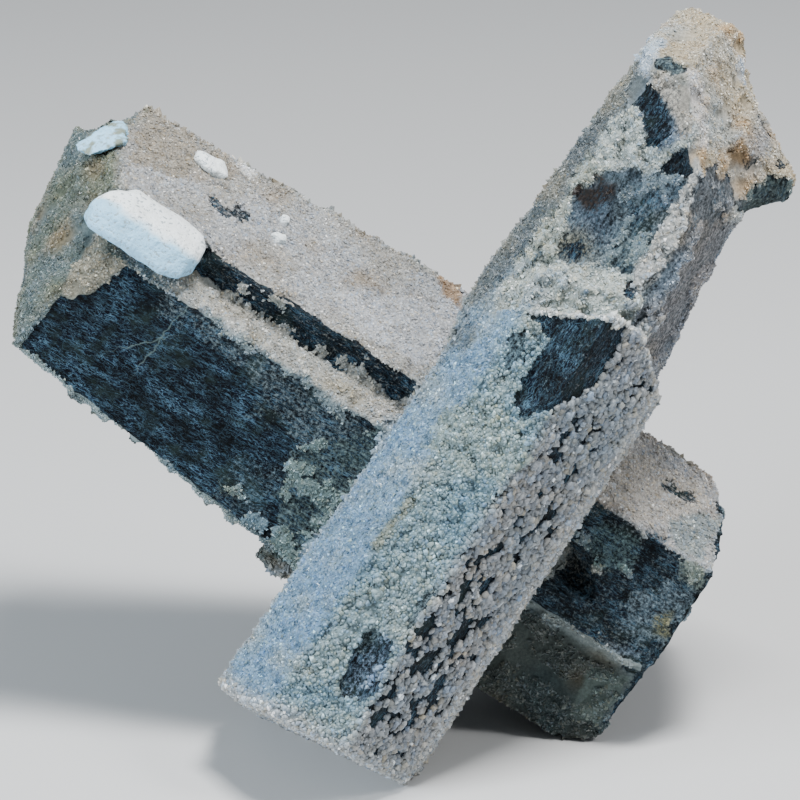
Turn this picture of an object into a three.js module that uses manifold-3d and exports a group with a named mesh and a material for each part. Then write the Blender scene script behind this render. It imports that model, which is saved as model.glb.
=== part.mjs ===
// Hydroxylapatite with hornblende: two thick hornblende prisms grown through each other in an X, with
// broken ends and a crust of small grains, and white apatite crystals seated in the rear prism.
// Sizes are millimetres and degrees. The X is modelled in its own plane, with x right, y up and z out
// of the front, and the whole specimen then leans back as it rests on the prisms' lower ends.
import * as THREE from "three";
import { ConvexGeometry } from "three/addons/geometries/ConvexGeometry.js";
import { mergeVertices } from "three/addons/utils/BufferGeometryUtils.js";
import Module from "manifold-3d";

const wasm = await Module();
wasm.setup();

// Driving dimensions of the resting specimen
const LEAN = 18;
const FLOOR_BELOW_CROSSING = 29.9;
const FIT_GAP = 0.15;
const HALF_SPACE = 200;

// Each crystal's frame: its origin in the plane of the X, its direction there and its tilt to the front
const REAR = { origin: [-28.8, 15.75, 6.5], angle: -33, tilt: -5 };
const FRONT = { origin: [-7.4, -29.4, 8], angle: 56.6, tilt: 8 };

// Sections are [across, outward] corners, anticlockwise seen from the crystal's far end.
// The rear prism's upper face drops at a long notch to a ledge above the dark front face.
const REAR_LEFT_SECTION = [
  [12, -7.5],
  [3.6, 4.2],
  [1.8, 1.8],
  [-0.6, 5],
  [-11.4, 2.9],
  [-10.2, -6],
  [-7, -18],
  [5, -20],
  [11, -14],
];
const REAR_SECTION = [
  [14.2, -8.5],
  [4.6, 4.4],
  [2.2, 2.2],
  [-0.4, 5.6],
  [-15, 3.4],
  [-13.6, -7],
  [-9, -20.5],
  [6, -23],
  [13, -16],
];
const REAR_LEFT_END = -6;
const REAR_FULL_SIZE_AT = 32;
const REAR_HIDDEN_END = 46;

// The rear prism's lower end is stepped under its dark face.
const FOOT_SECTION = [
  [12.3, -7],
  [4.6, 3.8],
  [-6.3, 2.8],
  [-6.8, 1.4],
  [-15.6, -3],
  [-14.5, -12],
  [-11, -22],
  [0, -25],
  [10, -17],
];
const FOOT_START = 34;
const FOOT_END = 67;

const FRONT_LOW_SECTION = [
  [9.8, 0],
  [5, 8],
  [-2.7, 8.8],
  [-8.8, 1.5],
  [-9.8, -3],
  [-6.5, -17],
  [3, -19],
  [9.2, -9],
];
const FRONT_HIGH_SECTION = [
  [8.9, 0],
  [5.6, 7.4],
  [-0.8, 8.4],
  [-7.9, 1],
  [-8.9, -3],
  [-6, -16],
  [3, -17.5],
  [8.6, -8.5],
];
const FRONT_BASE = -4;
const FRONT_TOP = 47;

const UPPER_LOW_SECTION = [
  [10.3, -2],
  [7.7, 2.6],
  [-4, 4.8],
  [-8.2, -4],
  [-6, -15],
  [4, -16],
  [9.2, -10],
];
const UPPER_HIGH_SECTION = [
  [9.1, -2],
  [7.6, 2.6],
  [0.3, 4.6],
  [-4.6, -3.5],
  [-4, -13],
  [4, -14.5],
  [8.4, -10],
];
const UPPER_ROOT_SECTION = [
  [8.8, -2],
  [7.2, 2.6],
  [-4, 4.8],
  [-8, -4],
  [-6, -15],
  [4, -16],
  [8.6, -10],
];
const UPPER_ROOT = 33;
const UPPER_START = 39;
const UPPER_END = 72;

// Convex pieces that stand out of a crystal or are broken out of it, as [along, across, outward] corners
const SPUR = [
  [67.2, -1.6, -8.5],
  [65.3, -4.9, -7.6],
  [63.4, -8.8, -8],
  [61.5, -9.5, -8],
  [58.2, -6, -5],
  [59.8, -5.2, -3.2],
  [63.8, -1.5, -1],
  [64, -5, -14],
  [60, -5, -14],
  [62, -8.6, -11],
];
const REAR_LEFT_CORNER = [
  [3.7, -0.4, 5.2],
  [3.7, 0.6, 9],
  [1.2, -6.4, 4],
  [1.2, -6.4, 9],
  [-6, -6.4, 9],
  [-6, -6.4, -6],
  [-6, 2, 9],
  [-6, 2, -6],
  [1.2, 2, 3],
];
const FOOT_GAPS = [
  [
    [68, 8.5, 7],
    [63.2, 5.6, 7],
    [68, 3.5, 7],
    [68, 8.5, -1],
    [64.6, 5.6, -1],
    [68, 3.5, -1],
  ],
  [
    [68, -0.6, 6],
    [64.3, -5.8, 6],
    [68, -11, 6],
    [68, -0.6, -7],
    [64.9, -5.8, -7],
    [68, -11, -7],
  ],
  [
    [48, -1, 5],
    [54.5, 1.6, 5],
    [58.6, -4.2, 5],
    [52, -6, 5],
    [50, -2, -0.5],
    [53.6, -2.4, 0.6],
  ],
];

// Shallow pits where the crust has come off, by corners on the crystal's surface
const FRONT_PITS = [
  { depth: 0.45, corners: [[43.2, 5.2, 7.5], [48, -0.9, 8.4], [38, -1, 8.45], [35, 1.2, 8.2]] },
  { depth: 0.4, corners: [[13, 1.6, 8.2], [12, -0.8, 8.5], [6.5, -2.2, 8.7], [6, 0.8, 8.4]] },
  { depth: 0.35, corners: [[60, 4.6, 3.2], [60, 1.2, 3.9], [52, -0.6, 4.3], [50.5, 3.5, 3.5]] },
];
const PIT_HEADROOM = 2;
const STRAY_LUMP = { at: [31.8, -15.4, -2], radii: [2.6, 1.9, 2.2] };

// Apatite crystals seated in the rear prism. The large one is a prism with rounded edges and blunt
// ends: its section, and the share of the section at places along it, with the shift across.
const APATITE_SECTION = [
  [5.6, 3.1],
  [5.3, 4.3],
  [3.7, 6.3],
  [2.7, 6.75],
  [0.6, 6.5],
  [0.15, 6],
  [0.2, 5],
  [1.5, 2.2],
  [4.5, 1.2],
];
const APATITE_MIDDLE = [2.7, 4.2];
const APATITE_RINGS = [
  { along: 0.35, share: 0.4, shift: -0.9 },
  { along: 1.2, share: 0.74, shift: -0.6 },
  { along: 3.2, share: 1, shift: 0 },
  { along: 8.6, share: 1, shift: 0 },
  { along: 10.3, share: 0.85, shift: 0.1 },
  { along: 11.1, share: 0.5, shift: 0.3 },
];
const APATITE_END_CORNERS = [
  [-3.9, 5.7, -2],
  [-2.4, 8.3, -2.4],
  [-2, 9.6, -4.1],
  [-0.8, 10, -4.3],
  [-0.3, 9.8, -3],
  [-0.1, 8.4, -1],
  [-1, 6.7, 0.1],
  [-2.2, 5.4, 0],
  [-3.2, 5.1, -1],
  [-2.5, 7, -4.5],
  [-1.5, 8.5, -5.5],
];

// Flat flecks of apatite lie in the rear prism's upper face, which faces upward by this turn.
const UPPER_FACE_TURN = -54;
const APATITE_FLECKS = {
  apatite_fleck_large: { at: [7.7, 11.1, -5.5], radii: [2.6, 1.7, 0.6] },
  apatite_fleck_upper: { at: [15.7, 10.5, -4.3], radii: [0.8, 0.9, 0.5] },
  apatite_fleck_lower: { at: [16.1, 8.8, -2.1], radii: [1, 0.9, 0.5] },
};

// Clusters of crust grains stand out of crusted edges: a corner of the strip that they cover, its two
// sides as [along, across, outward], a count of clusters and their size
const REAR_CRUST = [
  { from: [2, 12.2, -8], along: [33, 2, -0.8], across: [0, -0.6, 0.6], count: 22, size: 0.7 },
  { from: [12, -0.4, 5], along: [24, 0.2, 0.4], across: [0, 1, -1.2], count: 20, size: 0.7 },
  { from: [6, -12.2, 2.8], along: [24, -2.2, 0.3], across: [0, -0.6, -1.6], count: 16, size: 0.7 },
  { from: [-3, 7, -3], along: [3, 3, -1], across: [2.6, -8, 4.6], count: 16, size: 0.9 },
  { from: [50, 11.6, -6.4], along: [11, 0.4, 0], across: [0, -1, 1.2], count: 8, size: 0.7 },
];
const FRONT_CRUST = [
  { from: [0.6, 7.6, 2.6], along: [1.2, -10, 5.4], across: [0.8, 0, 0], count: 14, size: 0.9 },
  { from: [43, 5.6, 4.6], along: [3.4, -9, 0.6], across: [2.6, 1, -0.6], count: 22, size: 1.3 },
  { from: [46, -3.6, 4.2], along: [14, 2.2, 0], across: [0, -1.2, -1.6], count: 24, size: 1 },
  { from: [42, 9.9, -1], along: [24, -0.8, 0], across: [0, -1.4, 2.2], count: 20, size: 0.7 },
  { from: [60, -2.5, 0], along: [7, 6, 0], across: [4, 0, -8], count: 20, size: 0.9 },
];
const CLUSTER_CORNERS = 9;
const FLECK_CORNERS = 20;
const SEED = 20;

// Materials
const hornblendeLook = new THREE.MeshStandardMaterial({ color: 0x8d9390, roughness: 0.75, metalness: 0 });
const apatiteLook = new THREE.MeshStandardMaterial({ color: 0xe6eef0, roughness: 0.55, metalness: 0 });

const radians = THREE.MathUtils.degToRad;

// The matrix that carries a crystal's own frame into the plane of the X.
function placed({ origin, angle, tilt }) {
  return new THREE.Matrix4()
    .makeTranslation(...origin)
    .multiply(new THREE.Matrix4().makeRotationZ(radians(angle)))
    .multiply(new THREE.Matrix4().makeRotationY(radians(-tilt)));
}

const REAR_FRAME = placed(REAR);
const FRONT_FRAME = placed(FRONT);

// A closed geometry as a solid, moved by a matrix.
function solid(geometry, matrix = new THREE.Matrix4()) {
  const flat = geometry.index ? geometry.toNonIndexed() : geometry;
  const bare = new THREE.BufferGeometry();
  bare.setAttribute("position", flat.getAttribute("position").clone());
  bare.applyMatrix4(matrix);
  const merged = mergeVertices(bare, 1e-4);
  const vertProperties = merged.attributes.position.array;
  const triVerts = new Uint32Array(merged.index.array);
  return new wasm.Manifold(new wasm.Mesh({ numProp: 3, vertProperties, triVerts }));
}

// A prism along x between sections of the same number of corners, each given as [x, section].
function prism(stations) {
  const points = stations.flatMap(([x, section]) => section.map(([y, z]) => [x, y, z]));
  const sides = stations[0][1].length;
  const last = (stations.length - 1) * sides;
  const triangles = [];
  for (let ring = 0; ring < last; ring += sides) {
    for (let i = 0; i < sides; i++) {
      const a = ring + i;
      const b = ring + ((i + 1) % sides);
      triangles.push(a, b, b + sides, a, b + sides, a + sides);
    }
  }
  for (const [offset, turned] of [[0, true], [last, false]]) {
    const rim = points.slice(offset, offset + sides).map(([, y, z]) => new THREE.Vector2(y, z));
    for (const [a, b, c] of THREE.ShapeUtils.triangulateShape(rim, [])) {
      triangles.push(offset + (turned ? c : a), offset + b, offset + (turned ? a : c));
    }
  }
  const geometry = new THREE.BufferGeometry();
  geometry.setAttribute("position", new THREE.Float32BufferAttribute(points.flat(), 3));
  geometry.setIndex(triangles);
  return geometry;
}

// The half space beyond a plane through a point, to chip a crystal with.
function beyond(point, normal, matrix) {
  const away = new THREE.Vector3(...normal).normalize();
  const turn = new THREE.Quaternion().setFromUnitVectors(new THREE.Vector3(0, 0, 1), away);
  const middle = new THREE.Vector3(...point).addScaledVector(away, HALF_SPACE / 2);
  const local = new THREE.Matrix4().compose(middle, turn, new THREE.Vector3(1, 1, 1));
  const box = new THREE.BoxGeometry(HALF_SPACE, HALF_SPACE, HALF_SPACE);
  return solid(box, matrix.clone().multiply(local));
}

// The convex solid through some corners
function hull(corners, matrix) {
  return solid(new ConvexGeometry(corners.map((corner) => new THREE.Vector3(...corner))), matrix);
}

function chipped(body, chips, matrix) {
  return chips.reduce((rest, [point, normal]) => rest.subtract(beyond(point, normal, matrix)), body);
}

// The rear prism, from its broken left end to the middle of the X
function rearPrism() {
  const stations = [
    [REAR_LEFT_END, REAR_LEFT_SECTION],
    [REAR_FULL_SIZE_AT, REAR_SECTION],
    [REAR_HIDDEN_END, REAR_SECTION],
  ];
  const chips = [
    [[-0.4, 12.3, -8], [-0.8, 0.6, 0.1]],
    [[-4.5, 6.9, -8], [-0.99, -0.14, 0]],
    [[-3.2, -2.4, -6], [-0.91, -0.42, 0]],
    [[1.2, -8, 3.6], [-0.9, 0, 0.44]],
    [[0.2, 4, 4], [-0.9, 0.02, 0.44]],
  ];
  const broken = chipped(solid(prism(stations), REAR_FRAME), chips, REAR_FRAME);
  return broken.subtract(hull(REAR_LEFT_CORNER, REAR_FRAME));
}

// The rear prism's lower end, which is one of the two feet
function rearFoot() {
  const stations = [
    [FOOT_START, FOOT_SECTION],
    [FOOT_END, FOOT_SECTION],
  ];
  const chips = [
    [[61, 12.6, -7], [0.65, 0.76, 0]],
    [[64.8, 6, 0], [0.98, 0.19, 0]],
    [[64.9, -3, 0], [1, 0, 0]],
    [[65, -13, -8], [0.75, -0.66, 0]],
  ];
  const broken = chipped(solid(prism(stations), REAR_FRAME), chips, REAR_FRAME);
  const gaps = FOOT_GAPS.map((corners) => hull(corners, REAR_FRAME));
  return broken.subtract(wasm.Manifold.union(gaps));
}

// The front prism, whose lower end is the other foot
function frontPrism() {
  const stations = [
    [FRONT_BASE, FRONT_LOW_SECTION],
    [FRONT_TOP, FRONT_HIGH_SECTION],
  ];
  const chips = [
    [[0.2, 4, 6.5], [-1, 0.08, 0.25]],
    [[2, -3, 8.6], [-1, -0.12, 0.25]],
    [[43.1, 5.4, 8.5], [0.9, 0.44, -0.3]],
    [[46.4, -2.5, 7], [1, 0, -0.3]],
    [[46.3, -3.5, 5], [0.84, -0.53, -0.2]],
  ];
  return chipped(solid(prism(stations), FRONT_FRAME), chips, FRONT_FRAME);
}

// The upper stretch of the front crystal, which stands behind the front prism's step
function upperPrism() {
  const stations = [
    [UPPER_ROOT, UPPER_ROOT_SECTION],
    [UPPER_START, UPPER_LOW_SECTION],
    [UPPER_END, UPPER_HIGH_SECTION],
  ];
  const chips = [
    [[66.7, 4.9, 3.5], [0.65, -0.68, 0.36]],
    [[67.2, 5, 3.5], [0.83, 0.47, 0.3]],
    [[71.4, 4, -9], [1, 0, -0.15]],
    [[69, 0, -10], [0.55, -0.55, -0.63]],
  ];
  const broken = chipped(solid(prism(stations), FRONT_FRAME), chips, FRONT_FRAME);
  return broken.add(hull(SPUR, FRONT_FRAME));
}

// A seeded stream of numbers from 0 to 1
function stream(seed) {
  let state = seed;
  return () => {
    state = (state + 0x6d2b79f5) | 0;
    let mixed = Math.imul(state ^ (state >>> 15), state | 1);
    mixed ^= mixed + Math.imul(mixed ^ (mixed >>> 7), mixed | 61);
    return ((mixed ^ (mixed >>> 14)) >>> 0) / 4294967296;
  };
}
const random = stream(SEED);

// A faceted lump: the hull of corners strewn over an ellipsoid
function lump({ at, radii }, matrix, count = CLUSTER_CORNERS) {
  const corners = Array.from({ length: count }, (_, i) => {
    const height = 1 - (2 * (i + 0.5)) / count;
    const turn = 2.4 * i + random();
    const reach = Math.sqrt(1 - height * height);
    const unit = [reach * Math.cos(turn), reach * Math.sin(turn), height];
    return unit.map((part, axis) => at[axis] + part * radii[axis] * (0.85 + 0.3 * random()));
  });
  return hull(corners, matrix);
}

// The clusters of one crusted strip
function clusters({ from, along, across, count, size }, matrix) {
  return Array.from({ length: count }, () => {
    const [u, v] = [random(), random()];
    const at = from.map((start, axis) => start + u * along[axis] + v * across[axis]);
    const radii = at.map(() => size * (0.7 + 0.6 * random()));
    return lump({ at, radii }, matrix);
  });
}

// The body above a shallow pit's floor
function pit({ depth, corners }, matrix) {
  const levels = [-depth, PIT_HEADROOM];
  return hull(levels.flatMap((level) => corners.map(([x, y, z]) => [x, y, z + level])), matrix);
}

// The large apatite crystal, by the hull of its rings
function apatitePrism() {
  const [midAcross, midOutward] = APATITE_MIDDLE;
  const corners = APATITE_RINGS.flatMap(({ along, share, shift }) =>
    APATITE_SECTION.map(([across, outward]) => [
      along,
      midAcross + share * (across - midAcross) + shift,
      midOutward + share * (outward - midOutward),
    ]),
  );
  return hull(corners, REAR_FRAME);
}

// A fleck of apatite that lies flat in the upper face
function fleck({ at, radii }) {
  const inFace = REAR_FRAME.clone()
    .multiply(new THREE.Matrix4().makeTranslation(...at))
    .multiply(new THREE.Matrix4().makeRotationX(radians(UPPER_FACE_TURN)));
  return lump({ at: [0, 0, 0], radii }, inFace, FLECK_CORNERS);
}

// A copy of a convex body, grown by the fit gap all round, to cut its seat with
function seat(body) {
  const { min, max } = body.boundingBox();
  const middle = min.map((low, axis) => (low + max[axis]) / 2);
  const growth = min.map((low, axis) => 1 + (2 * FIT_GAP) / (max[axis] - low));
  return body.translate(middle.map((part) => -part)).scale(growth).translate(middle);
}

// The largest connected surface of a body, without loose chips or closed hollows
function outer(body) {
  return body.decompose().reduce((best, other) => (other.volume() > best.volume() ? other : best));
}

// The specimen's solid below the resting plane is removed, which leaves its feet flat.
function standing(body) {
  const lean = radians(LEAN);
  const down = [0, -Math.cos(lean), -Math.sin(lean)];
  const onFloor = down.map((part) => part * FLOOR_BELOW_CROSSING);
  return body.subtract(beyond(onFloor, down, new THREE.Matrix4()));
}

function meshOf(body, name, material) {
  const made = body.getMesh();
  const geometry = new THREE.BufferGeometry();
  geometry.setAttribute("position", new THREE.BufferAttribute(made.vertProperties, 3));
  geometry.setIndex(new THREE.BufferAttribute(made.triVerts, 1));
  geometry.computeVertexNormals();
  const mesh = new THREE.Mesh(geometry, material);
  mesh.name = name;
  return mesh;
}

const apatites = {
  apatite_crystal: apatitePrism(),
  apatite_end_crystal: hull(APATITE_END_CORNERS, REAR_FRAME),
};
for (const [name, shape] of Object.entries(APATITE_FLECKS)) {
  apatites[name] = fleck(shape);
}

const grown = [
  rearPrism(),
  rearFoot(),
  frontPrism(),
  upperPrism(),
  lump(STRAY_LUMP, REAR_FRAME),
];
const clustered = [
  ...REAR_CRUST.flatMap((strip) => clusters(strip, REAR_FRAME)),
  ...FRONT_CRUST.flatMap((strip) => clusters(strip, FRONT_FRAME)),
];
const pits = FRONT_PITS.map((hollow) => pit(hollow, FRONT_FRAME));
const seats = Object.values(apatites).map(seat);
const bare = wasm.Manifold.union(grown).subtract(wasm.Manifold.union(pits));
const crusted = wasm.Manifold.union([bare, ...clustered]);
const hornblende = outer(standing(crusted).subtract(wasm.Manifold.union(seats)));

const leaning = new THREE.Group();
leaning.rotation.x = radians(90 - LEAN);
leaning.add(meshOf(hornblende, "hornblende_crystals", hornblendeLook));
for (const [name, body] of Object.entries(apatites)) {
  leaning.add(meshOf(body, name, apatiteLook));
}

// The origin is under the middle of the whole, on the resting surface.
const whole = new THREE.Box3().setFromObject(leaning, true);
const middle = whole.getCenter(new THREE.Vector3());
leaning.position.set(-middle.x, -middle.y, -whole.min.z);

const specimen = new THREE.Group();
specimen.add(leaning);

export default specimen;
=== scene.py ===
import itertools
import math

import bmesh
import bpy
import numpy as np
from mathutils import Matrix, Vector


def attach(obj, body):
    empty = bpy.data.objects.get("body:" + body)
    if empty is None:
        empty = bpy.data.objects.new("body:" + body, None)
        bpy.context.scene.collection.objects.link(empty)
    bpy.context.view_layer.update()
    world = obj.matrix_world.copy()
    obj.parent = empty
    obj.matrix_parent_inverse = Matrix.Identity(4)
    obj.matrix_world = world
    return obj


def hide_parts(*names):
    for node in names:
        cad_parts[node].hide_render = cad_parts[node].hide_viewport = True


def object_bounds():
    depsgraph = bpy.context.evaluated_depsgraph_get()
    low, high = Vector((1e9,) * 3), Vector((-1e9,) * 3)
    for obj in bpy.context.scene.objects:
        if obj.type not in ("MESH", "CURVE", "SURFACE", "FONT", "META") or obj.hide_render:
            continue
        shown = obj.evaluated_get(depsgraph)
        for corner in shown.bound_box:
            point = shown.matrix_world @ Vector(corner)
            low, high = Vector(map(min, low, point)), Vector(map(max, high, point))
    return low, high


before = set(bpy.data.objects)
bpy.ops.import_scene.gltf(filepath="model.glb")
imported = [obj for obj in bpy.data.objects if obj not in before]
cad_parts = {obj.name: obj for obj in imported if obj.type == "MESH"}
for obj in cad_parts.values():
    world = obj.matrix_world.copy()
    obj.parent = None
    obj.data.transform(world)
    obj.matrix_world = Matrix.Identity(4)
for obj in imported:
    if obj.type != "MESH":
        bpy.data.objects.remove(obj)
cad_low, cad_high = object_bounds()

# Millimetres are used for all shapes, in the plane of the crossed prisms: x right, y up, z to the front.
# That plane leans back in the row frame, and its origin is where the two prisms cross.
MM = 0.001
LEAN = math.radians(18)
CROSSING = np.array([-0.115, 2.785, 29.9])
PLANE_TO_ROW = np.array(Matrix.Rotation(math.pi / 2 - LEAN, 3, "X"))
random = np.random.default_rng(7)

# The view that the specimen is shown from
VIEW_DISTANCE = 360
VIEW_WIDTH = 72
SENSOR = 36

# Faces deeper than this in a crystal's frame are behind the patches and veins
FRONT_DEPTH = -9.0

# Further than any distance on the specimen
FAR = 1e9


# What a zone looks like: the crust's three colours, its grains' size, the share that it covers, how bare and
# dusty the rest is, the height of its lumps, the roughness of the break under it and how far it is sunk
def zone(tint, second, stain, size, cover=1.0, bare=0.0, dust=0.0, lumps=0.15, rough=0.0, sink=0.0):
    colours = {"tint": tint, "second": second, "stain": stain}
    return dict(colours, size=size, cover=cover, bare=bare, dust=dust, lumps=lumps, rough=rough, sink=sink)


# A patch: its outline of [along, across], how far that wanders, how deep it goes and what differs there
def patch(outline, wander=1.0, depth=FRONT_DEPTH, **changes):
    return {"outline": outline, "wander": wander, "depth": depth, "changes": changes}


# Each crystal's frame: its origin in the plane, its direction there and its tilt to the front
REAR_FRAME = ((-28.8, 15.75, 6.5), -33, -5)
FRONT_FRAME = ((-7.4, -29.4, 8), 56.6, 8)

# The sections of the crystals, [across, outward], from each side's first corner round to its last
REAR_LEFT = [
    [12, -7.5], [3.6, 4.2], [1.8, 1.8], [-0.6, 5], [-11.4, 2.9],
    [-10.2, -6], [-7, -18], [5, -20], [11, -14],
]
REAR_FULL = [
    [14.2, -8.5], [4.6, 4.4], [2.2, 2.2], [-0.4, 5.6], [-15, 3.4],
    [-13.6, -7], [-9, -20.5], [6, -23], [13, -16],
]
FOOT = [
    [12.3, -7], [4.6, 3.8], [-6.3, 2.8], [-6.8, 1.4], [-15.6, -3],
    [-14.5, -12], [-11, -22], [0, -25], [10, -17],
]
FRONT_LOW = [[9.8, 0], [5, 8], [-2.7, 8.8], [-8.8, 1.5], [-9.8, -3], [-6.5, -17], [3, -19], [9.2, -9]]
FRONT_HIGH = [[8.9, 0], [5.6, 7.4], [-0.8, 8.4], [-7.9, 1], [-8.9, -3], [-6, -16], [3, -17.5], [8.6, -8.5]]
UPPER_LOW = [[10.3, -2], [7.7, 2.6], [-4, 4.8], [-8.2, -4], [-6, -15], [4, -16], [9.2, -10]]
UPPER_HIGH = [[9.1, -2], [7.6, 2.6], [0.3, 4.6], [-4.6, -3.5], [-4, -13], [4, -14.5], [8.4, -10]]

# Each stretch of crystal: its frame, its sections along it, and the zone of each side in turn
STRETCHES = {
    "rear": (
        REAR_FRAME,
        [(-6, REAR_LEFT), (32, REAR_FULL), (46, REAR_FULL)],
        ["tan", "wall", "ledge", "dark", "shade"] + ["back"] * 4,
    ),
    "foot": (
        REAR_FRAME,
        [(34, FOOT), (67, FOOT)],
        ["pink", "broken", "broken", "shade", "shade"] + ["back"] * 4,
    ),
    "front": (
        FRONT_FRAME,
        [(-4, FRONT_LOW), (47, FRONT_HIGH)],
        ["blue", "green", "coarse", "edge", "back", "back", "back", "bluish"],
    ),
    "upper": (
        FRONT_FRAME,
        [(33, UPPER_LOW), (39, UPPER_LOW), (72, UPPER_HIGH)],
        ["pale", "teal", "striped", "striped"] + ["back"] * 3,
    ),
}

# Broken ends, by planes in a stretch's frame: a point, the outward direction and the zone there
ENDS = {
    "rear": [
        ((-0.4, 12.3, -8), (-0.8, 0.6, 0.1), "olive"),
        ((-4.5, 6.9, -8), (-0.99, -0.14, 0), "olive"),
        ((-3.2, -2.4, -6), (-0.91, -0.42, 0), "olive"),
        ((1.2, -8, 3.6), (-0.9, 0, 0.44), "olive"),
        ((0.2, 4, 4), (-0.9, 0.02, 0.44), "olive"),
    ],
    "foot": [
        ((61, 12.6, -7), (0.65, 0.76, 0), "pink"),
        ((64.8, 6, 0), (0.98, 0.19, 0), "broken"),
        ((64.9, -3, 0), (1, 0, 0), "broken"),
        ((65, -13, -8), (0.75, -0.66, 0), "shade"),
    ],
    "front": [
        ((0.2, 4, 6.5), (-1, 0.08, 0.25), "edge"),
        ((2, -3, 8.6), (-1, -0.12, 0.25), "edge"),
    ],
    "upper": [
        ((66.7, 4.9, 3.5), (0.65, -0.68, 0.36), "ochre"),
        ((67.2, 5, 3.5), (0.83, 0.47, 0.3), "ochre"),
        ((71.4, 4, -9), (1, 0, -0.15), "ochre"),
        ((69, 0, -10), (0.55, -0.55, -0.63), "ochre"),
    ],
}

# The zones: what each kind of face is like
ZONES = {
    "tan": zone((0.37, 0.365, 0.345), (0.415, 0.435, 0.46), (0.315, 0.27, 0.21), size=0.28, lumps=0.2),
    "wall": zone((0.36, 0.37, 0.35), (0.3, 0.32, 0.3), (0.2, 0.22, 0.2),
                 size=0.3, cover=0.05, bare=1, dust=0.08),
    "ledge": zone((0.43, 0.43, 0.405), (0.38, 0.39, 0.37), (0.3, 0.28, 0.22), size=0.3, lumps=0.4),
    "dark": zone((0.13, 0.2, 0.245), (0.13, 0.19, 0.225), (0.16, 0.2, 0.17),
                 size=0.3, cover=-0.1, bare=1, dust=-0.06, lumps=0.3),
    "olive": zone((0.13, 0.15, 0.11), (0.105, 0.145, 0.155), (0.18, 0.15, 0.095),
                  size=0.28, cover=0.9, lumps=0.4, rough=0.65),
    "pink": zone((0.45, 0.44, 0.425), (0.41, 0.42, 0.435), (0.35, 0.3, 0.25),
                 size=0.32, cover=0.95, bare=0.6, dust=0.3, lumps=0.3, rough=0.25),
    "broken": zone((0.15, 0.215, 0.255), (0.17, 0.22, 0.24), (0.25, 0.25, 0.21),
                   size=0.3, cover=0.06, bare=1, dust=0.12, lumps=0.2, rough=0.35),
    # The shade zone: downward faces whose crust is dark in its own right and is coloured darker still as
    # painted shade under the crystals
    "shade": zone((0.045, 0.066, 0.07), (0.07, 0.085, 0.08), (0.1, 0.088, 0.06),
                  size=0.32, cover=0.8, bare=0.3, dust=0.15, lumps=0.3, rough=0.3),
    "back": zone((0.22, 0.25, 0.24), (0.28, 0.28, 0.26), (0.2, 0.17, 0.12),
                 size=0.8, cover=0.6, bare=0.4, dust=0.4, lumps=0.35, rough=0.4),
    "bluish": zone((0.2, 0.28, 0.35), (0.24, 0.28, 0.31), (0.26, 0.26, 0.24),
                   size=0.6, cover=0.85, bare=0.4, dust=0.4, lumps=0.35, rough=0.2),
    "blue": zone((0.16, 0.28, 0.415), (0.19, 0.295, 0.395), (0.255, 0.32, 0.355), size=0.31, lumps=0.5),
    "green": zone((0.15, 0.245, 0.305), (0.19, 0.275, 0.31), (0.265, 0.315, 0.3),
                  size=0.3, cover=0.97, bare=0.9, dust=0.35, lumps=0.65),
    "coarse": zone((0.235, 0.275, 0.31), (0.27, 0.29, 0.31), (0.315, 0.315, 0.31),
                   size=0.44, cover=0.9, bare=1, dust=0.03, lumps=0.4),
    "edge": zone((0.34, 0.37, 0.39), (0.4, 0.42, 0.43), (0.38, 0.38, 0.36), size=0.4, lumps=0.25),
    "pale": zone((0.095, 0.115, 0.125), (0.12, 0.145, 0.155), (0.2, 0.2, 0.17),
                 size=0.28, cover=0.97, dust=0.4, lumps=0.3),
    "teal": zone((0.15, 0.2, 0.215), (0.115, 0.16, 0.215), (0.26, 0.26, 0.2),
                 size=0.26, cover=0.4, bare=1, dust=0.36, lumps=0.3),
    "striped": zone((0.18, 0.23, 0.285), (0.26, 0.26, 0.27), (0.3, 0.27, 0.23),
                    size=0.26, cover=0.3, bare=1, dust=0.45, lumps=0.2),
    "ochre": zone((0.44, 0.38, 0.275), (0.37, 0.4, 0.395), (0.48, 0.32, 0.16),
                  size=0.26, cover=0.8, lumps=0.3, rough=0.55),
}

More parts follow.
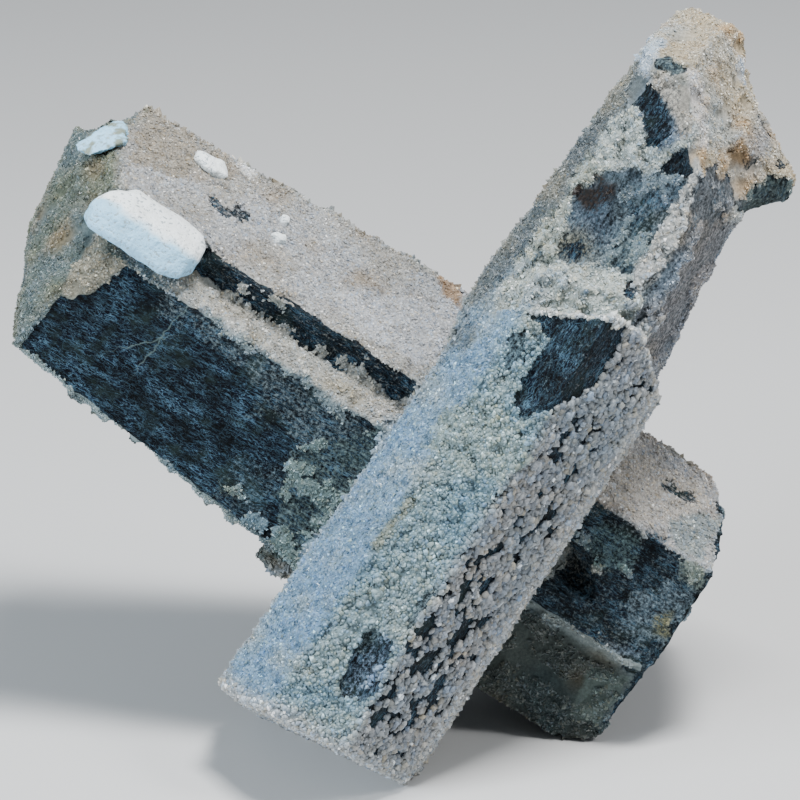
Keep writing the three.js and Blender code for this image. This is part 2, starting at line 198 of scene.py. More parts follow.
# On the front prism: its bare top, the crust's rim over that, bare spots, gaps between coarse grains,
# creamy clumps, a brown seam and the crust beside the step
FRONT_PATCHES = [
    patch([[42.3, 5], [46, -1.2], [45.2, -3.4], [40.3, -3.5], [37.8, -2.6], [34.6, 0.8], [35.8, 2.1],
           [41.1, 2.5]],
          bare=1, cover=-0.1, dust=0.04),
    patch([[43.3, 5.2], [45.9, 0], [46.7, -4.3], [44.2, -7.6], [43.2, -7.2], [45.6, -3.8], [45.1, 0],
           [42.6, 4.8]],
          cover=1.1, size=0.32, tint=(0.46, 0.49, 0.49)),
    patch([[39.5, 5.6], [41, 4.1], [38.8, 2.8], [37.1, 3.2], [37.5, 4.8]], bare=1, cover=0.4, dust=0.3),
    patch([[6.2, 0.3], [9.4, 1.8], [12.1, 1.2], [12.6, -0.9], [8.2, -2.2], [6.2, -1.5]],
          bare=1, cover=0.15, dust=0.22, tint=(0.19, 0.27, 0.37)),
    patch([[20.1, 0.2], [24.8, -0.6], [24.2, -4.4], [16.6, -7.1], [10.6, -9], [5.6, -7.3], [4.6, -3.3],
           [11, -1.7]],
          cover=0.58),
    patch([[6.2, -2.7], [9.7, -3.2], [12.5, -3.5], [13, -6.9], [10.5, -7.9], [7, -7.6], [4.3, -6]],
          cover=0.44),
    patch([[24.2, -4.4], [30.6, -3.7], [32.6, -5.6], [28.2, -7.3], [21.9, -7.3]], cover=0.78),
    patch([[31.5, 6.5], [35.1, 3.2], [34, 0.5], [31.4, -2], [29.1, -0.8], [27.4, 3.2], [27.7, 6]],
          wander=2.5, tint=(0.24, 0.315, 0.32), lumps=0.8),
    patch([[6.4, 4.9], [13.2, 4.2], [18.5, 2.5], [21.9, 0.6], [21, -1], [15.7, 0.6], [11.3, 0.8],
           [5.1, 0.9]],
          wander=2.5, tint=(0.21, 0.288, 0.312), size=0.36),
    patch([[18.2, 5.2], [20.3, 5.3], [22.6, 4.9], [23.5, 4.7], [23.3, 4.1], [21.4, 4.4], [19, 4.4],
           [17.9, 4.6]],
          wander=1.5, tint=(0.19, 0.22, 0.19)),
    patch([[40.5, 9.5], [47.5, 9.5], [47.5, 3], [44, 3.2], [42.8, 5.1], [41.3, 7.2]],
          size=0.3, lumps=0.8, tint=(0.33, 0.38, 0.39)),
]

# On the upper stretch: clumps of crust, a string of grains along the ridge, dark spots between them,
# the dark underside of the spur, and stains on the broken end
UPPER_PATCHES = [
    patch([[54.6, 7.8], [57.8, 8.2], [61.2, 8], [61.8, 6.8], [60.3, 5.2], [59.4, 3.6], [57.4, 3.8],
           [55.8, 5.6]],
          cover=0.97, size=0.32, lumps=1, tint=(0.37, 0.42, 0.41)),
    patch([[41, 8.4], [49.6, 8.3], [56, 8.2], [56, 6.4], [54.6, 6.1], [52.7, 7.2], [48.7, 6.3], [45.8, 5]],
          cover=0.95, size=0.32, lumps=1, tint=(0.34, 0.375, 0.34)),
    patch([[41, 8], [45.9, 6.5], [48.4, 2.9], [49.4, -0.9], [48.1, -2.6], [42, -3]],
          cover=1.1, size=0.32, lumps=0.5, tint=(0.4, 0.445, 0.425)),
    patch([[57.4, 3.8], [59.7, 3.1], [62.3, 2], [61.9, 1.3], [59.3, 2.2], [57.1, 3.1]],
          cover=1.1, size=0.32, tint=(0.37, 0.42, 0.41)),
    patch([[60.8, 0.2], [60.2, -1], [56.8, -1.9], [53.2, -2.6], [49.8, -2.9], [48, -1.4], [50, -0.6],
           [54.3, -0.2]],
          cover=0.82, size=0.4, tint=(0.4, 0.41, 0.4)),
    patch([[52, 8], [54.9, 6.4], [55.2, 4.7], [53.4, 4.2], [51.8, 5], [51.2, 6.8]],
          wander=2, bare=1, cover=0.3, dust=0.5, size=0.26, tint=(0.023, 0.017, 0.014)),
    patch([[48.1, 5.9], [49.1, 5.5], [49.4, 4.3], [48.5, 3.7], [47.3, 4.5]], cover=0.04, dust=0.1),
    patch([[58.4, 2.3], [60.1, 2.3], [61.6, 0.7], [60.6, -0.4], [59.2, -0.1], [58.3, 1.6]],
          cover=0.02, dust=0.1),
    patch([[64.2, 7.4], [65.6, 6.8], [65.3, 4.4], [62.3, 1.6], [61.3, 2.6], [62.8, 4.6]],
          wander=1.5, dust=0.62, cover=0.25, tint=(0.34, 0.325, 0.29)),
    patch([[61.6, 8.2], [64.1, 8.3], [63.8, 7.2], [62.9, 4.6], [61.4, 3.1], [59.8, 3.4], [59.6, 4.6],
           [61, 6.3]],
          cover=0, dust=0.06),
    patch([[65.1, 8.4], [66.2, 8.1], [66.8, 6.8], [66.5, 5.4], [65.6, 5.6], [64.9, 7.3]],
          bare=1, cover=0, dust=0.34, tint=(0.15, 0.2, 0.21)),
    patch([[54.6, 3], [56.4, 1.6], [55.9, 0.4], [53.3, 0.1], [51.8, 1.1]], cover=0.02, dust=0.22),
    patch([[49.2, 0.2], [49.1, -0.9], [48.2, -1.7], [48.2, -0.9]], bare=1, cover=-0.1, dust=0),
    patch([[61, -5.6], [62.6, -6.4], [63, -8.2], [62.7, -9.8], [60, -10.2], [57.5, -7.1], [58.8, -5.3]],
          wander=1.5, bare=1, cover=0.1, dust=0.26, tint=(0.14, 0.185, 0.185)),
    patch([[64.6, -5.4], [64.5, -6.6], [64.1, -7.3], [63.8, -6.4]], bare=1, cover=-0.1, dust=0.2),
    patch([[64.2, 8.4], [64.8, 9.6], [66.9, 9.2], [67.3, 8], [65.7, 7.8], [64, 7.4]],
          tint=(0.42, 0.5, 0.58)),
    patch([[69.9, 2.1], [69.5, 0.5], [67.3, -2.3], [67.1, -1.3], [68.1, 0.4]], tint=(0.45, 0.52, 0.6)),
    patch([[66.7, 4.9], [67.1, 4], [64.5, 1.8], [62.2, -0.1], [61.9, 0.5], [64.1, 2.6]],
          tint=(0.5, 0.49, 0.48)),
    patch([[62.6, -1.9], [64.3, -2.1], [63.8, -3.8], [62.6, -4.2], [61.9, -3.2]], tint=(0.28, 0.2, 0.12)),
    patch([[59.7, -0.4], [61, -1.7], [60.4, -4.2], [59, -5.6], [57.2, -4.7], [56, -3.3], [57.2, -1.6]],
          wander=2, bare=1, cover=0.12, dust=0.42, tint=(0.2, 0.22, 0.24)),
]

# On the rear prism: bare and dusty strips beside the ledge, crust that spreads over the dark face, its
# lower rim, stains on the upper face and the sunk corner behind the end apatite
REAR_PATCHES = [
    patch([[9, 3.4], [28, 3.9], [28, 4.9], [22, 4.9], [9, 4.6]], wander=0.6, bare=1, cover=0.04, dust=0.08),
    patch([[9, -0.4], [33, -0.6], [33, -8], [27, -5.6], [20, -3.2], [10, -2.4]],
          wander=2.5, dust=0.22, tint=(0.165, 0.215, 0.235)),
    patch([[16, -0.6], [33, -0.6], [33, -2.4], [24, -1.4], [16, -1.3]], cover=0.5),
    patch([[26.7, -6.5], [29.2, -3.8], [32, -0.9], [36, -1], [36, -16.5], [30.5, -15], [28.2, -10.4]],
          cover=0.6, dust=0.25, lumps=0.5, tint=(0.13, 0.185, 0.185)),
    patch([[21.5, -4.1], [22.7, -2.8], [24.8, -3.5], [24, -5.6], [22.1, -5.8]], wander=2.5, dust=0.17),
    patch([[23, -9.5], [27.5, -8], [29, -15], [23, -14]], cover=0.12, dust=0.15),
    patch([[1.5, -12.4], [14.5, -13.7], [29, -15.4], [29, -14.7], [14, -13.1], [2, -11.8]],
          wander=0.5, cover=0.7, size=0.2, lumps=0.1, tint=(0.22, 0.28, 0.29)),
    patch([[1.7, -0.8], [2.8, 1.5], [6.1, -0.5], [5.1, -3.7], [3.4, -5.9], [2, -5.3]],
          bare=0, cover=0.9, size=0.28, tint=(0.25, 0.24, 0.19)),
    patch([[-0.8, 12.4], [5, 13.1], [8.7, 12.3], [5.1, 7.7], [1.5, 7.5]],
          wander=3.5, tint=(0.33, 0.305, 0.26)),
    patch([[8.3, 13], [9.2, 13.2], [11.2, 12.7], [10.7, 12.3], [9.3, 12.5]], tint=(0.85, 0.87, 0.88)),
    patch([[22.3, 7.3], [30.6, 11.5], [32.7, 13.9], [36, 9.2], [32.6, 6], [26.3, 5.7]],
          tint=(0.48, 0.5, 0.53)),
    patch([[-5.6, 7.2], [-4.6, 10.2], [-2.4, 12.4], [-0.5, 13], [-0.6, 11], [-2, 9.6], [-3.4, 7.6]],
          wander=0.4, depth=-22, sink=1.1),
    patch([[29.8, 14.6], [32.1, 14.6], [33.6, 12.8], [31.5, 12.8]], tint=(0.4, 0.29, 0.2)),
    patch([[8.4, 8.3], [9.9, 9.5], [12.8, 9.4], [13.1, 8.5], [10.9, 7.8]], bare=1, cover=0.3, dust=0.2),
]

# On the foot: its creamy top, the hollow, wedge and dust in its broken face, and the pale rim under that
FOOT_PATCHES = [
    patch([[50, 9.3], [54.4, 10.4], [58.9, 10.8], [61.9, 10.5], [61.5, 9.2], [58.8, 6.5], [56.7, 5.2],
           [52.2, 4.9]],
          tint=(0.48, 0.46, 0.43)),
    patch([[58.8, 6.5], [61.6, 9], [63.7, 9.3], [63.2, 6.8], [63.2, 5.1], [60.8, 4.8]],
          tint=(0.27, 0.31, 0.32)),
    patch([[61.9, 10.9], [63.8, 10.4], [64, 9.2], [62.6, 9.7]], bare=1, cover=0.2, dust=0.15),
    patch([[53.5, 3.2], [56.6, 3.9], [58, 3.7], [58, 1.5], [57.8, -0.4], [55.1, -0.7], [53.7, 0.3]],
          wander=2.5, dust=0.27, tint=(0.12, 0.185, 0.19)),
    patch([[59.6, -0.5], [62.1, 1.8], [64, 2.4], [64.6, -0.1], [64, -3], [62.4, -4.7], [60.3, -4.6]],
          wander=2.5, dust=0.31, tint=(0.165, 0.225, 0.265)),
    patch([[61, 4.5], [63.6, 4.6], [64.4, 2.7], [62.3, 2.5]], dust=0.4, tint=(0.17, 0.21, 0.19)),
    patch([[62.2, -1.4], [63.3, -0.1], [64.3, -2.1], [62.9, -2.9]], dust=0.34, tint=(0.22, 0.22, 0.13)),
    patch([[59.3, -5.8], [62.9, -4.3], [63.3, -5.3], [61.3, -6.5]], dust=0.34, tint=(0.15, 0.2, 0.25)),
    patch([[52.4, -1], [54, -0.2], [57.1, -3.4], [56.7, -4], [54.7, -3.1], [53.1, -2.3]],
          wander=0.8, dust=0.2, cover=-0.1, sink=0.8),
    patch([[57.7, 5.1], [59.3, 5.2], [59.4, 4], [58.8, 0.3], [58.1, 2.8]],
          wander=0.5, dust=0.02, cover=-0.1, sink=0.5),
    patch([[51, -6.4], [56, -6.3], [60, -6.1], [63.7, -5.6], [63.9, -6.6], [60.7, -7], [51, -7.1]],
          wander=0.4, bare=0, cover=0.7, size=0.26, tint=(0.21, 0.25, 0.25)),
    patch([[60.1, -8.5], [63.8, -7.3], [64.2, -10.1], [63.8, -12.7], [61.7, -12.9]],
          tint=(0.115, 0.15, 0.14)),
    patch([[56.8, 9], [58.2, 10.6], [60.6, 10.5], [60.1, 9]], bare=1, cover=0.45, dust=0.2),
]

PATCHES = {"front": FRONT_PATCHES, "upper": UPPER_PATCHES, "rear": REAR_PATCHES, "foot": FOOT_PATCHES}

# Pale veins over the dark face of the rear prism, from and to [along, across]
VEINS = [([12.3, -0.3], [11.7, -7.5]), ([12, -4.4], [9.7, -6.9])]
NO_VEIN = 9.0

# Where zones, patches and ends meet: how far edges wander, in what cells, and how soft they are
BOUNDARY_WANDER = 0.6
BOUNDARY_CELL = 2.2
PATCH_SOFTNESS = 0.25
PATCH_RAGGED = 0.45
RAGGED_CELL = 1.1
END_REACH = 0.9
SPUR_START = 58
SPUR_EDGE = -4.6
STRETCHES_APART = 20.0

# Clouds of a zone's other colours: their cell, and the noise from which they begin and are full
TINT_CLOUDS = [("second", 3.5, -0.5, 0.5), ("stain", 2.4, 0.15, 0.55)]

# The hornblende's mesh and relief, in mm
BASE_CELL = 0.38
BARE_SINK = 0.42
CRUST_SINK = 0.32
LUMP_CELL = 1.05
LUMP_TOP = 0.85
# Painted shade: how much darker the colour is made in the hollows between lumps
PAINTED_LUMP_SHADE = 0.25
COBBLE_CELL = 0.8
SWELL = 0.1
SWELL_CELL = 2.6
RIB_HEIGHT = 0.05
RIB_CELL = 1.0
RIBS_DRAWN_OUT = np.array([0.1, 1.3, 1])
BREAK_CELL = 3.4
BREAK_FINE_CELL = 1.2
BREAK_FINE_SHARE = 0.4
BREAK_MEAN = 0.35
MOST_RISE = 0.1
FLOOR_GAP = 0.02

# The pattern of the crust's edges, drawn out along the crystal, and of the gaps between coarse grains
DRAWN_OUT = np.array([0.5, 1, 1])
SPREAD_CELL = 1.5
SPREAD_FINE_CELL = 0.6
SPREAD_FINE_SHARE = 0.35
GAPS_DRAWN_OUT = np.array([0.65, 1, 1])
GAP_CELL = 1.1
GAP_FINE_CELL = 0.55
GAP_FINE_SHARE = 0.5
COVER_SOFTNESS = 0.05
COARSE_EDGE = (0.1, 0.3)
GAP_EDGE = (0.2, 0.45)

# How many times each value is evened out over the mesh
RELAXING = {"tint": 12, "size": 8, "lumps": 6, "rough": 6, "dust": 3, "cover": 2, "bare": 2}

# Numbers that scatter the corners of cells for noise and lumps
HASH = (73856093, 19349663, 83492791)
HASH_MIX = 1274126177
LUMP_HASH = (374761393, 668265263, 2147483647)
LUMP_HASH_SEED = 7919
LUMP_HASH_MIX = 2246822519
LOW_32_BITS = 0xFFFFFFFF
LOW_16_BITS = 0xFFFF
SEED_STEP = 31.7
OCTAVE_STEP = 9.1
NOISE_REACH = 1.4
LUMP_REACH = 0.75


# Smooth noise from -1 to 1 at points in mm, with features of about one cell and a pattern for each seed
def noise(points, cell, seed, octaves=3):
    total = np.zeros(len(points))
    for octave in range(octaves):
        place = points / (cell / 2**octave) + SEED_STEP * seed + OCTAVE_STEP * octave
        low = np.floor(place).astype(np.int64)
        part = place - low
        part = part * part * (3 - 2 * part)
        layer = np.zeros(len(points))
        for corner in itertools.product((0, 1), repeat=3):
            at = low + np.array(corner)
            code = (at[:, 0] * HASH[0]) ^ (at[:, 1] * HASH[1]) ^ (at[:, 2] * HASH[2])
            code = ((code ^ (code >> 13)) * HASH_MIX) & LOW_32_BITS
            value = ((code ^ (code >> 16)) & LOW_16_BITS) / (LOW_16_BITS / 2) - 1
            weight = np.prod(np.where(np.array(corner) == 1, part, 1 - part), axis=1)
            layer += weight * value
        total += layer / 2**octave
    return total / NOISE_REACH


# Rounded lumps, from 0 between them to 1 on top, of about one cell each
def cobbles(points, cell, seed):
    place = points / cell
    low = np.floor(place).astype(np.int64)
    nearest = np.full(len(points), FAR)
    for step in itertools.product((-1, 0, 1), repeat=3):
        at = low + np.array(step)
        offset = np.empty((len(points), 3))
        for axis, factor in enumerate(LUMP_HASH):
            code = at[:, 0] * HASH[0] + at[:, 1] * HASH[1] + at[:, 2] * HASH[2] + seed * LUMP_HASH_SEED
            code = (code * factor) & LOW_32_BITS
            code = ((code ^ (code >> 15)) * LUMP_HASH_MIX) & LOW_32_BITS
            offset[:, axis] = ((code ^ (code >> 13)) & LOW_16_BITS) / LOW_16_BITS
        nearest = np.minimum(nearest, ((at + offset - place) ** 2).sum(1))
    return np.clip(1 - nearest / LUMP_REACH, 0, 1)


# Each value's rank among the others, from 0 to 1
def ranked(values):
    order = np.empty(len(values))
    order[np.argsort(values)] = np.linspace(0, 1, len(values))
    return order


def smooth_step(values, low, high):
    part = np.clip((values - low) / (high - low), 0, 1)
    return part * part * (3 - 2 * part)


def to_plane(row_mm):
    return (row_mm - CROSSING) @ PLANE_TO_ROW


def to_row(plane_mm):
    return plane_mm @ PLANE_TO_ROW.T + CROSSING


# A crystal's axes as columns, in the plane of the crossed prisms
def crystal_axes(crystal):
    turn = Matrix.Rotation(math.radians(crystal[1]), 3, "Z")
    tilt = Matrix.Rotation(math.radians(-crystal[2]), 3, "Y")
    return np.array(turn @ tilt)


def to_crystal(plane_mm, crystal):
    return (plane_mm - np.array(crystal[0])) @ crystal_axes(crystal)


# For points in a crystal's frame: the distance to the outline, the nearest side and the way round to it
def on_outline(points, sections):
    stations = [station for station, _ in sections]
    corners = np.array([section for _, section in sections], float)
    sides = corners.shape[1]
    outline = np.empty((len(points), sides, 2))
    for side, axis in itertools.product(range(sides), range(2)):
        outline[:, side, axis] = np.interp(points[:, 0], stations, corners[:, side, axis])
    step = np.roll(outline, -1, axis=1) - outline
    reach = points[:, None, 1:] - outline
    part = np.clip((reach * step).sum(2) / (step * step).sum(2), 0, 1)
    away = np.linalg.norm(reach - part[..., None] * step, axis=2)
    side = away.argmin(1)
    rows = np.arange(len(points))
    lengths = np.linalg.norm(step, axis=2)
    around = (np.cumsum(lengths, axis=1) - lengths)[rows, side] + part[rows, side] * lengths[rows, side]
    beyond = np.maximum(stations[0] - points[:, 0], points[:, 0] - stations[-1])
    return away[rows, side] + np.maximum(beyond, 0), side, around


# How far points are inside an outline, in mm, negative outside
def inside(points, outline):
    corners = np.array(outline, float)
    nearest = np.full(len(points), FAR)
    within = np.zeros(len(points), bool)
    for start, end in zip(corners, np.roll(corners, -1, axis=0)):
        step = end - start
        reach = points - start
        part = np.clip(reach @ step / (step @ step), 0, 1)
        nearest = np.minimum(nearest, np.linalg.norm(reach - part[:, None] * step, axis=1))
        crosses = (start[1] > points[:, 1]) != (end[1] > points[:, 1])
        slope = step[0] / (step[1] if step[1] else 1e-9)
        within ^= crosses & (points[:, 0] < start[0] + (points[:, 1] - start[1]) * slope)
    return np.where(within, nearest, -nearest)


# What the surface is like at points of the hornblende, in the plane of the crossed prisms
def survey(points):
    wander = np.stack([noise(points, BOUNDARY_CELL, seed) for seed in (1, 2, 3)], axis=1)
    asked = points + BOUNDARY_WANDER * wander
    count = len(points)
    nearest = np.full(count, FAR)
    zone_of = np.full(count, "back", dtype="<U8")
    stretch_of = np.full(count, "rear", dtype="<U8")
    along = np.zeros((count, 3))
    for number, (name, (crystal, sections, sides)) in enumerate(STRETCHES.items()):
        local = to_crystal(asked, crystal)
        away, side, around = on_outline(local, sections)
        best = away < nearest
        nearest = np.where(best, away, nearest)
        zone_of[best] = np.array(sides)[side[best]]
        stretch_of[best] = name
        own = to_crystal(points, crystal)
        own_around = on_outline(own, sections)[2]
        place = np.stack([own[:, 0], own_around, np.full(count, STRETCHES_APART * number)], axis=1)
        along[best] = place[best]
    for name, planes in ENDS.items():
        local = to_crystal(asked, STRETCHES[name][0])
        for point, outward, end_zone in planes:
            direction = np.array(outward) / np.linalg.norm(outward)
            away = np.abs((local - np.array(point)) @ direction)
            at_end = (stretch_of == name) & (away < END_REACH)
            zone_of[at_end] = end_zone
            along[at_end] = local[at_end][:, [1, 2, 0]]
    upper = to_crystal(asked, FRONT_FRAME)
    spur = (stretch_of == "upper") & (upper[:, 0] > SPUR_START) & (upper[:, 1] < SPUR_EDGE)
    zone_of[spur] = "ochre"

    order = list(ZONES)
    index = np.array([order.index(key) for key in zone_of])
    look = {key: np.array([ZONES[name][key] for name in order], float)[index] for key in ZONES["tan"]}
    for key, cell, low, high in TINT_CLOUDS:
        share = smooth_step(noise(points, cell, 12), low, high)[:, None]
        look["tint"] = look["tint"] + share * (look.pop(key) - look["tint"])
    look["along"] = along
    look["zone"] = zone_of
    look["stretch"] = stretch_of
    return look


# The patches' changes, laid over what the zones are like
def patched(look, points):
    ragged = PATCH_RAGGED * noise(points, RAGGED_CELL, 5)
    for stretch, spots in PATCHES.items():
        local = to_crystal(points, STRETCHES[stretch][0])
        for spot in spots:
            near = (look["stretch"] == stretch) & (local[:, 2] > spot["depth"])
            depth = inside(local[near, :2], spot["outline"]) + ragged[near] * spot["wander"]
            share = smooth_step(depth, -PATCH_SOFTNESS, PATCH_SOFTNESS)
            for key, value in spot["changes"].items():
                weight = share if look[key].ndim == 1 else share[:, None]
                look[key][near] += weight * (np.array(value) - look[key][near])
    return look


# How far points are to one side of a vein, in mm, and beyond its ends
def beside(points, vein):
    start, end = np.array(vein)
    step = end - start
    length = np.linalg.norm(step)
    reach = (points - start) @ step / length
    side = (points - start) @ np.array([-step[1], step[0]]) / length
    beyond = np.maximum(np.maximum(-reach, reach - length), 0)
    return np.where(side < 0, -1, 1) * np.maximum(np.abs(side), beyond)


# Values on vertices, evened out over their neighbours
def relaxed(values, edges, rounds):
    count = np.bincount(edges.ravel(), minlength=len(values)).astype(float)
    count = count if values.ndim == 1 else count[:, None]
    for _ in range(rounds):
        total = np.zeros_like(values)
        np.add.at(total, edges[:, 0], values[edges[:, 1]])
        np.add.at(total, edges[:, 1], values[edges[:, 0]])
        values = 0.5 * values + 0.5 * total / np.maximum(count, 1)
    return values


# A new object in the scene
def placed(name, data):
    thing = bpy.data.objects.new(name, data)
    bpy.context.scene.collection.objects.link(thing)
    return thing


# A new mesh object from arrays, in mm of the row frame, with vertex colours and other values
def mesh_piece(name, vertices, faces, colour=None, smooth=True, **values):
    mesh = bpy.data.meshes.new(name)
    mesh.vertices.add(len(vertices))
    mesh.vertices.foreach_set("co", (vertices * MM).astype(np.float32).ravel())
    corners = faces.shape[1]
    mesh.loops.add(faces.size)
    mesh.loops.foreach_set("vertex_index", faces.astype(np.int32).ravel())
    mesh.polygons.add(len(faces))
    mesh.polygons.foreach_set("loop_start", np.arange(0, faces.size, corners, dtype=np.int32))
    mesh.polygons.foreach_set("use_smooth", np.full(len(faces), smooth))
    mesh.update(calc_edges=True)
    if colour is not None:
        layer = mesh.color_attributes.new("tint", "FLOAT_COLOR", "POINT")
        rgba = np.concatenate([colour, np.ones((len(colour), 1))], axis=1)
        layer.data.foreach_set("color", rgba.astype(np.float32).ravel())
    for key, numbers in values.items():
        kind = "FLOAT" if numbers.ndim == 1 else "FLOAT_VECTOR"
        layer = mesh.attributes.new(key, kind, "POINT")
        field = "value" if numbers.ndim == 1 else "vector"
        layer.data.foreach_set(field, numbers.astype(np.float32).ravel())
    return placed(name, mesh)


# A node's solid as an even mesh of small quads: points in mm, their normals, edges and quads
def remeshed(node, cell):
    work = placed("work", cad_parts[node].data.copy())
    body = bmesh.new()
    body.from_mesh(work.data)
    bmesh.ops.remove_doubles(body, verts=body.verts, dist=1e-6)
    body.to_mesh(work.data)
    body.free()
    even = work.modifiers.new("even", "REMESH")
    even.mode = "VOXEL"
    even.voxel_size = cell * MM
    graph = bpy.context.evaluated_depsgraph_get()
    mesh = bpy.data.meshes.new_from_object(work.evaluated_get(graph))
    bpy.data.objects.remove(work)
    points, normals = np.empty((2, len(mesh.vertices) * 3), np.float32)
    mesh.vertices.foreach_get("co", points)
    mesh.vertices.foreach_get("normal", normals)
    edges = np.empty(len(mesh.edges) * 2, np.int32)
    mesh.edges.foreach_get("vertices", edges)
    quads = np.array([polygon.vertices[:] for polygon in mesh.polygons], np.int32)
    bpy.data.meshes.remove(mesh)
    points, normals = (values.reshape(-1, 3).astype(float) for values in (points, normals))
    return points / MM, normals, edges.reshape(-1, 2), quads


# Points kept inside the box of the solids
def boxed(row_mm):
    return np.clip(row_mm, np.array(cad_low) / MM, np.array(cad_high) / MM)


# The hornblende under the crust, sunk by the height of the grains that stand on it
def hornblende_body():
    row, normals, edges, quads = remeshed("hornblende_crystals", BASE_CELL)
    plane = to_plane(row)
    found = survey(plane)
    for key, rounds in RELAXING.items():
        found[key] = relaxed(found[key], edges, rounds)
    found = patched(found, plane)
    coarse = found["zone"] == "coarse"
    long = found["along"] * DRAWN_OUT
    spread = noise(long, SPREAD_CELL, 21, 2) + SPREAD_FINE_SHARE * noise(plane, SPREAD_FINE_CELL, 22, 1)
    gappy = noise(found["along"] * GAPS_DRAWN_OUT, GAP_CELL, 23, 2)
    gappy = gappy + GAP_FINE_SHARE * noise(plane, GAP_FINE_CELL, 24, 1)
    pattern = np.where(coarse, ranked(gappy), ranked(spread))
    crusted = smooth_step(found["cover"] - pattern, -COVER_SOFTNESS, COVER_SOFTNESS)
    lumps = np.where(coarse, cobbles(long, COBBLE_CELL, 3), cobbles(plane, LUMP_CELL, 4))
    crusted = np.where(coarse, crusted * smooth_step(lumps, *COARSE_EDGE), crusted)
    swell = SWELL * noise(plane, SWELL_CELL, 8)
    crust = found["lumps"] * (lumps - LUMP_TOP) + swell - CRUST_SINK * found["size"]
    ribs = RIB_HEIGHT * noise(found["along"] * RIBS_DRAWN_OUT, RIB_CELL, 11)
    ragged = np.abs(noise(plane, BREAK_CELL, 31))
    ragged = ragged + BREAK_FINE_SHARE * np.abs(noise(plane, BREAK_FINE_CELL, 32))
    rise = crusted * crust + (1 - crusted) * (ribs - BARE_SINK)
    rise = rise - found["rough"] * (ragged - BREAK_MEAN) - found["sink"]
    rise = np.minimum(rise, MOST_RISE)
    row = boxed(row + normals * rise[:, None])
    row[:, 2] = np.maximum(row[:, 2], FLOOR_GAP)
    gaps = np.where(coarse, 1 - smooth_step(lumps, *GAP_EDGE), 0)
    found["crusted"] = crusted
    # Painted shade: the colour is darkened in the hollows between lumps and kept on their tops, and the
    # grains there take it on
    found["tint"] = found["tint"] * (1 - PAINTED_LUMP_SHADE + PAINTED_LUMP_SHADE * lumps)[:, None]
    bare = np.maximum((1 - crusted) * found["bare"], gaps)
    local = to_crystal(plane, REAR_FRAME)
    on_rear = (found["stretch"] == "rear") & (local[:, 2] > FRONT_DEPTH)
    veins = [np.where(on_rear, beside(local[:, :2], vein), NO_VEIN) for vein in VEINS]
    values = {"bare": bare, "dust": found["dust"], "along": found["along"]}
    values.update(vein_1=veins[0], vein_2=veins[1])
    rear = np.isin(found["stretch"], ["rear", "foot"])[quads[:, 0]]
    pieces = []
    for name, own in (("hornblende_rear", quads[rear]), ("hornblende_front", quads[~rear])):
        used, faces = np.unique(own, return_inverse=True)
        own_values = {key: numbers[used] for key, numbers in values.items()}
        pieces.append(mesh_piece(name, row[used], faces.reshape(-1, 4), found["tint"][used], **own_values))
    return pieces, row, quads, found


# The crust's grains: how many places are tried, and their sizes and spacing in mm
GRAIN_CANDIDATES = 700000
SIZE_CLASSES = [0.24, 0.27, 0.29, 0.31, 0.33, 0.36, 0.42, 0.48, 0.56, 0.7, 2.0]
SPACING = 0.83
MOST_CELLS = 4096
MOST_GRAINS = 8000
GRAIN_EDGE = (0.3, 0.7)
SIZE_SPREAD = 0.37
SIZE_RANGE = (0.45, 1.7)
GRAIN_SINK = 0.02
COARSE_STRETCH = 0.3
SHAPE_COUNT = 8
FINE_CORNERS = 5
ROUND_CORNERS = 9
CORNER_SPREAD = 0.2
GOLDEN_TURN = 2.4

# Their colours: how far single grains differ in tone and warmth, and the few painted bright as glints, which
# are painted highlights
TONE_MEAN = 0.02
TONE_SPREAD = 0.17
WARMTH_SPREAD = 0.07
WARMTH = np.array([1, 0.2, -1])
BRIGHTEST = 0.9
PAINTED_GLINT_SHARE = 0.045
PAINTED_GLINT_GAIN = 3.0
PAINTED_GLINT_BRIGHTEST = 0.95
PAINTED_GLINT_SIZE = 0.75
ROUNDED_ZONES = ["coarse", "green", "edge"]


# Points strewn over a surface of quads, with the normal there and the nearest vertex
def strewn(points, quads, count):
    triangles = np.concatenate([quads[:, [0, 1, 2]], quads[:, [0, 2, 3]]])
    first, second, third = (points[triangles[:, corner]] for corner in range(3))
    facing = np.cross(second - first, third - first)
    area = np.linalg.norm(facing, axis=1)
    chosen = np.searchsorted(np.cumsum(area) / area.sum(), random.random(count))
    u, v = random.random((2, count))
    over = u + v > 1
    u[over], v[over] = 1 - u[over], 1 - v[over]
    weights = np.stack([1 - u - v, u, v], axis=1)
    corner = triangles[chosen]
    place = (points[corner] * weights[..., None]).sum(1)
    normal = facing[chosen] / np.maximum(area[chosen], 1e-9)[:, None]
    nearest = corner[np.arange(count), weights.argmax(1)]
    return place, normal, nearest


# One point kept in each cubic cell of a grid
def thinned(points, cell):
    key = np.floor(points / cell).astype(np.int64)
    code = (key[:, 0] * MOST_CELLS + key[:, 1]) * MOST_CELLS + key[:, 2]
    return np.unique(code, return_index=True)[1]


# Grains of a few shapes: the hulls of corners spread over a ball
def grain_shapes(count, corners):
    shapes = []
    height = 1 - (2 * np.arange(corners) + 1) / corners
    turn = GOLDEN_TURN * np.arange(corners)
    reach = np.sqrt(1 - height * height)
    ball = np.stack([reach * np.cos(turn), reach * np.sin(turn), height], axis=1)
    for _ in range(count):
        body = bmesh.new()
        for point in ball + random.normal(0, CORNER_SPREAD, (corners, 3)):
            body.verts.new(point)
        bmesh.ops.convex_hull(body, input=body.verts)
        bmesh.ops.triangulate(body, faces=body.faces)
        loose = [vertex for vertex in body.verts if not vertex.link_faces]
        bmesh.ops.delete(body, geom=loose, context="VERTS")
        body.verts.index_update()
        vertices = np.array([vertex.co[:] for vertex in body.verts])
        faces = np.array([[vertex.index for vertex in face.verts] for face in body.faces])
        shapes.append((vertices, faces))
        body.free()
    return shapes


